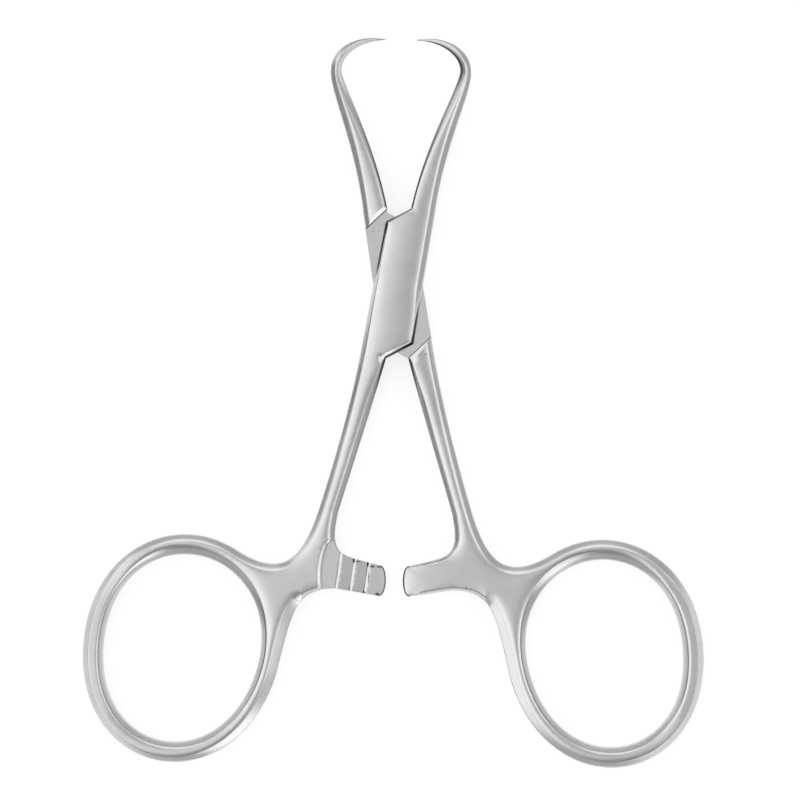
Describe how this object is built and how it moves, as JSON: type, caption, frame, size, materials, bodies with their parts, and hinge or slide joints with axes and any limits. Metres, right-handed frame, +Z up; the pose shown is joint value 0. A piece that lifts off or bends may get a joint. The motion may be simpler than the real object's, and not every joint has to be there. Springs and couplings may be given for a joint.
{
  "type": "towel clamp",
  "caption": "Ring-handled surgical towel clamp with a box lock, curved needle-point jaws and a ratchet between the shanks.",
  "frame": {"origin": "on the pivot axis at the underside of the lock, on the pin's lower end face", "axes": "the clamp lies flat; +Y towards the jaws along the middle line, +X to the right seen from above, +Z up along the pivot axis"},
  "size_m": [0.0772, 0.0905, 0.0042],
  "materials": {
    "box_half": "satin brushed stainless steel with bright rounded edges",
    "tongue_half": "satin brushed stainless steel with bright rounded edges",
    "pivot_pin": "satin stainless steel, ground flush with the cheeks"
  },
  "bodies": {
    "box": {"box_half": "box_half", "pivot_pin": "pivot_pin"},
    "tongue": {"tongue_half": "tongue_half"}
  },
  "joints": [
    {"name": "pivot", "type": "hinge", "parent": "box", "child": "tongue", "pos_m": [0, 0, 0.0021], "axis": [0, 0, 1], "range_deg": [-7, 50]}
  ]
}
